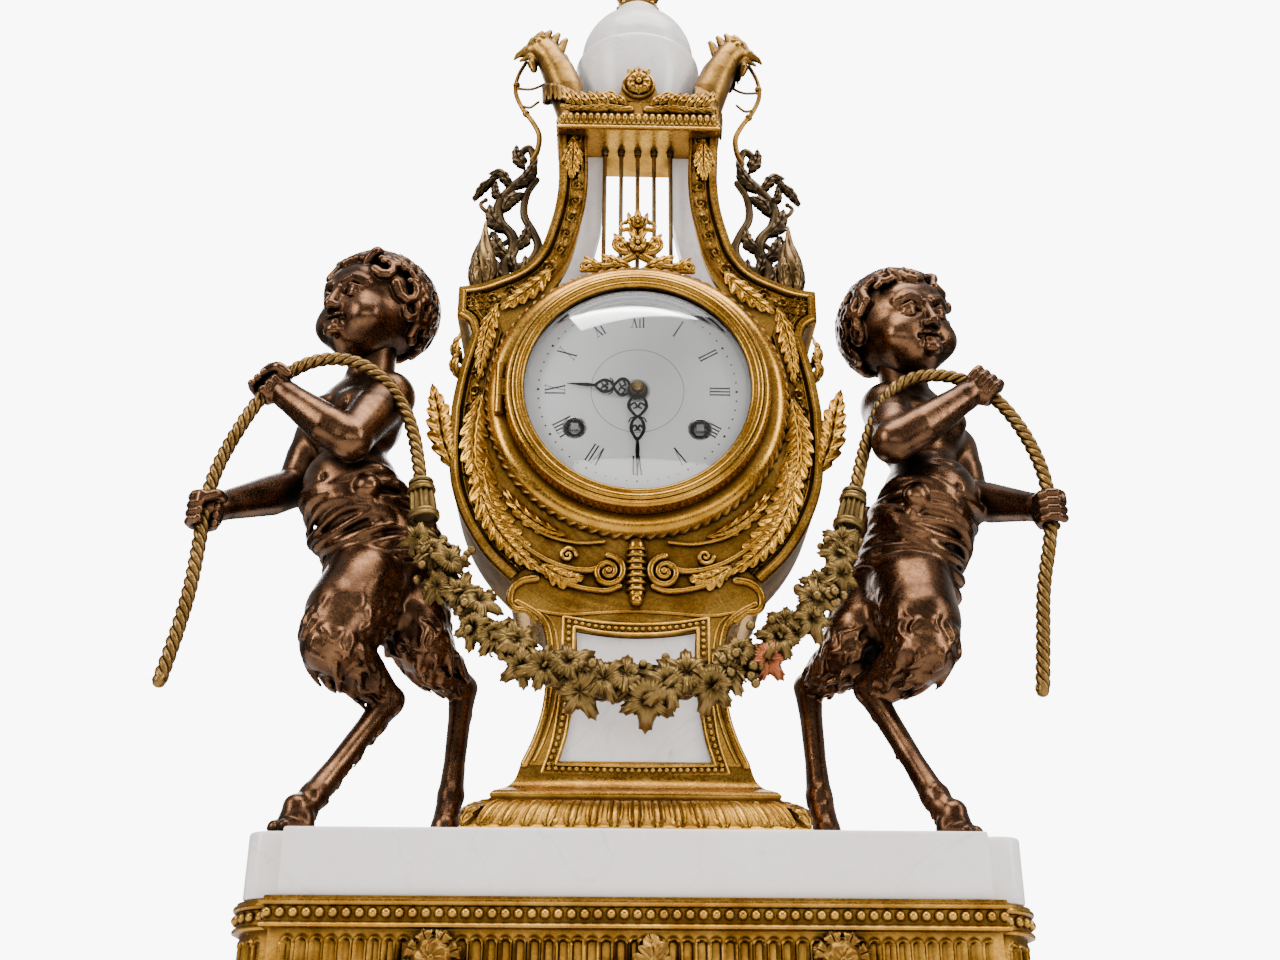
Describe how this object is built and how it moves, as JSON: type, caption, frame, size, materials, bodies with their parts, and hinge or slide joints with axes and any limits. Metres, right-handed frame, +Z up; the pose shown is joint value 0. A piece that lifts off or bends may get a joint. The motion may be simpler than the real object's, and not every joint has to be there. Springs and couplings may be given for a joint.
{
  "type": "mantel clock",
  "caption": "Lyre-shaped mantel clock in gilt brass and white marble, carried by a pair of bronze goat-legged children who hold a rope and vine garland.",
  "frame": {"origin": "on the ground under the middle of the base", "axes": "+X to the viewer's right, -Y out of the dial towards the viewer, +Z up"},
  "size_m": [0.3738, 0.158, 0.586],
  "materials": {
    "gilt_brass": "cast, gilt and lightly polished, brown in the recesses",
    "aged_brass": "dark aged patina",
    "garland_bronze": "greenish brown gilt, worn on the high spots",
    "dark_bronze": "dark brown patina",
    "figure_bronze": "brown patina with coppery highlights",
    "movement_brass": "brushed",
    "steel": "polished",
    "black_steel": "black satin",
    "dial_enamel": "silvered white, satin",
    "glass": "clear, convex",
    "marble": "polished white marble with faint grey veins"
  },
  "bodies": {
    "root": {"turned_feet": "gilt_brass", "base_plinth": "gilt_brass", "base_frieze": "gilt_brass", "base_bead_band": "gilt_brass", "frieze_mounts": "gilt_brass", "marble_slab": "marble", "column_foot": "gilt_brass", "column_shell": "aged_brass", "column_front_frame": "gilt_brass", "column_marble_panel": "marble", "column_tie_rods": "steel", "case_front_plate": "gilt_brass", "case_side_wall": "aged_brass", "case_back_plate": "aged_brass", "case_side_leaves": "gilt_brass", "leaf_ring": "gilt_brass", "hinge_pins": "steel", "dial_plate": "dial_enamel", "rear_drum": "aged_brass", "movement_front_plate": "movement_brass", "movement_back_plate": "movement_brass", "movement_pillars": "movement_brass", "bell": "steel", "bell_stand": "steel", "lyre_marble_plates": "marble", "crossbar": "gilt_brass", "lyre_strings": "gilt_brass", "string_ornament": "gilt_brass", "laurel_crest": "gilt_brass", "urn_body": "marble", "urn_finial": "gilt_brass", "urn_pedestal": "gilt_brass", "satyr_left": "figure_bronze", "satyr_right": "figure_bronze", "rope_left": "aged_brass", "rope_right": "aged_brass", "fruit_garland": "garland_bronze", "rooster_heads": "gilt_brass", "side_scrolls": "dark_bronze", "shoulder_finials": "dark_bronze"},
    "bezel_door": {"bezel_ring": "gilt_brass", "bezel_glass": "glass"},
    "rear_cover": {"rear_door": "aged_brass"},
    "minute_works": {"cannon_pinion": "steel", "minute_hand": "black_steel", "hand_nut": "movement_brass"},
    "hour_works": {"hour_wheel": "movement_brass", "hour_hand": "black_steel"},
    "motion_works": {"motion_wheel": "movement_brass"},
    "center_arbor": {"center_wheel": "movement_brass"},
    "time_drum": {"time_barrel": "movement_brass"},
    "strike_drum": {"strike_barrel": "movement_brass"},
    "third_arbor": {"third_wheel": "movement_brass"},
    "escape_arbor": {"escape_wheel": "movement_brass"},
    "strike_arbor": {"strike_wheel": "movement_brass"},
    "time_winding": {"time_winding_arbor": "steel"},
    "strike_winding": {"strike_winding_arbor": "steel"},
    "pallets": {"pallet_lever": "steel"},
    "balance": {"balance_wheel": "movement_brass"},
    "striker": {"hammer": "steel"}
  },
  "joints": [
    {"name": "bezel_hinge", "type": "hinge", "parent": "root", "child": "bezel_door", "pos_m": [-0.0605, -0.0385, 0.292], "axis": [0, 0, -1], "range_deg": [0, 105]},
    {"name": "rear_door_hinge", "type": "hinge", "parent": "root", "child": "rear_cover", "pos_m": [0.065, 0.0352, 0.292], "axis": [0, 0, -1], "range_deg": [0, 110]},
    {"name": "minute_hand_turn", "type": "hinge", "parent": "root", "child": "minute_works", "pos_m": [0, -0.042, 0.292], "axis": [0, 1, 0], "continuous": true},
    {"name": "hour_hand_turn", "type": "hinge", "parent": "root", "child": "hour_works", "pos_m": [0, -0.04, 0.292], "axis": [0, 1, 0], "continuous": true},
    {"name": "motion_wheel_turn", "type": "hinge", "parent": "root", "child": "motion_works", "pos_m": [0, -0.03, 0.3064], "axis": [0, 1, 0], "continuous": true},
    {"name": "center_wheel_turn", "type": "hinge", "parent": "root", "child": "center_arbor", "pos_m": [0, -0.02, 0.292], "axis": [0, 1, 0], "continuous": true},
    {"name": "time_barrel_turn", "type": "hinge", "parent": "root", "child": "time_drum", "pos_m": [0.02725, -0.01, 0.2735], "axis": [0, 1, 0], "continuous": true},
    {"name": "third_wheel_turn", "type": "hinge", "parent": "root", "child": "third_arbor", "pos_m": [0.00718, -0.011, 0.31173], "axis": [0, 1, 0], "continuous": true},
    {"name": "escape_wheel_turn", "type": "hinge", "parent": "root", "child": "escape_arbor", "pos_m": [-0.00826, -0.005, 0.31308], "axis": [0, 1, 0], "continuous": true},
    {"name": "strike_barrel_turn", "type": "hinge", "parent": "root", "child": "strike_drum", "pos_m": [-0.02725, -0.01, 0.2735], "axis": [0, 1, 0], "continuous": true},
    {"name": "strike_wheel_turn", "type": "hinge", "parent": "root", "child": "strike_arbor", "pos_m": [-0.02725, 0.003, 0.30644], "axis": [0, 1, 0], "continuous": true},
    {"name": "time_winding_turn", "type": "hinge", "parent": "root", "child": "time_winding", "pos_m": [0.02725, -0.038, 0.2735], "axis": [0, 1, 0], "continuous": true},
    {"name": "strike_winding_turn", "type": "hinge", "parent": "root", "child": "strike_winding", "pos_m": [-0.02725, -0.038, 0.2735], "axis": [0, 1, 0], "continuous": true},
    {"name": "pallet_rock", "type": "hinge", "parent": "root", "child": "pallets", "pos_m": [-0.00826, -0.005, 0.32808], "axis": [0, 1, 0], "range_deg": [-4, 4]},
    {"name": "balance_swing", "type": "hinge", "parent": "root", "child": "balance", "pos_m": [0.012, 0, 0.322], "axis": [0, 1, 0], "range_deg": [-140, 140], "stiffness_Nm_per_rad": 0.000002},
    {"name": "hammer_swing", "type": "hinge", "parent": "root", "child": "striker", "pos_m": [-0.04, 0.0195, 0.316], "axis": [0, 1, 0], "range_deg": [0, 16], "stiffness_Nm_per_rad": 0.002}
  ],
  "couplings": [
    {"joint": "motion_wheel_turn", "follows": "minute_hand_turn", "ratio": -0.33333},
    {"joint": "hour_hand_turn", "follows": "minute_hand_turn", "ratio": 0.083333},
    {"joint": "time_barrel_turn", "follows": "center_wheel_turn", "ratio": -0.15385},
    {"joint": "third_wheel_turn", "follows": "center_wheel_turn", "ratio": -6},
    {"joint": "escape_wheel_turn", "follows": "center_wheel_turn", "ratio": 40.5},
    {"joint": "strike_wheel_turn", "follows": "strike_barrel_turn", "ratio": -6.5}
  ]
}
